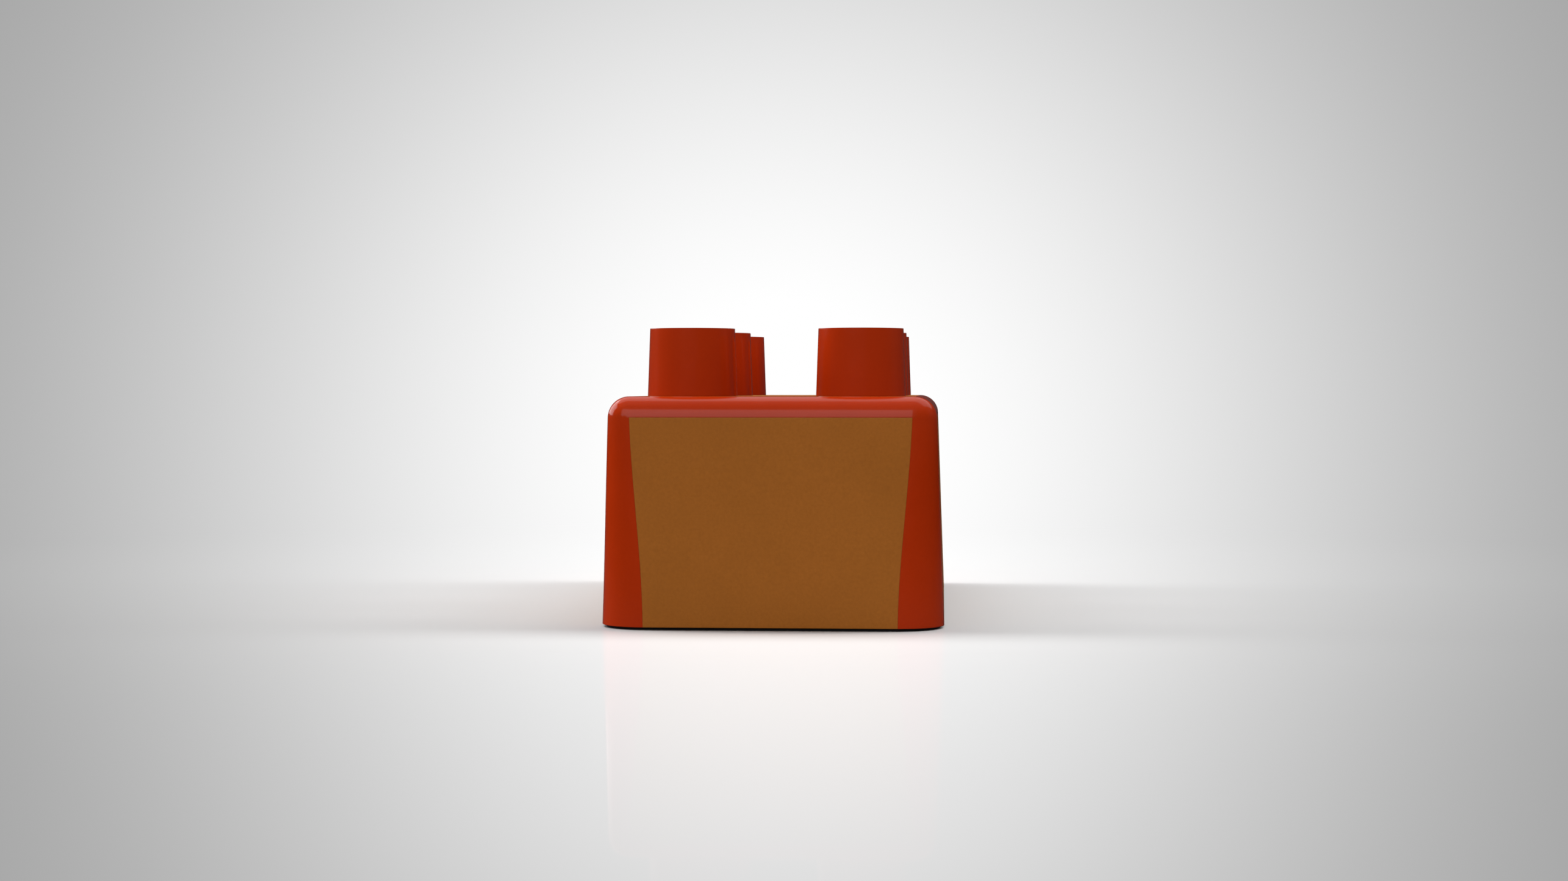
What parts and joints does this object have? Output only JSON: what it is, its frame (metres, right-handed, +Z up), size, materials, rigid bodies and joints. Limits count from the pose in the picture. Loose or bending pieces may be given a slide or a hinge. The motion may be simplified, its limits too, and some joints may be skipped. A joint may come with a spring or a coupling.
{
  "type": "stud building block",
  "caption": "Toy building block with drafted walls, rounded rim and corners, flush contrast panels, tapered round studs on top and a socketed black base that grips studs.",
  "frame": {"origin": "centre of the footprint, on the surface that the block rests on", "axes": "+X to the right across the two columns of studs, +Y to the rear along the three rows, +Z up"},
  "size_m": [0.0636, 0.1136, 0.0556],
  "materials": {
    "red_plastic": "moulded, glossy",
    "ochre_plastic": "moulded, satin",
    "black_plastic": "moulded, matte"
  },
  "bodies": {
    "root": {"outer_shell": "red_plastic", "stud_front_left": "red_plastic", "stud_front_right": "red_plastic", "stud_middle_left": "red_plastic", "stud_middle_right": "red_plastic", "stud_rear_left": "red_plastic", "stud_rear_right": "red_plastic", "front_panel": "ochre_plastic", "rear_panel": "ochre_plastic", "left_panel": "ochre_plastic", "right_panel": "ochre_plastic", "top_deck": "ochre_plastic", "base_insert": "black_plastic"}
  },
  "joints": []
}
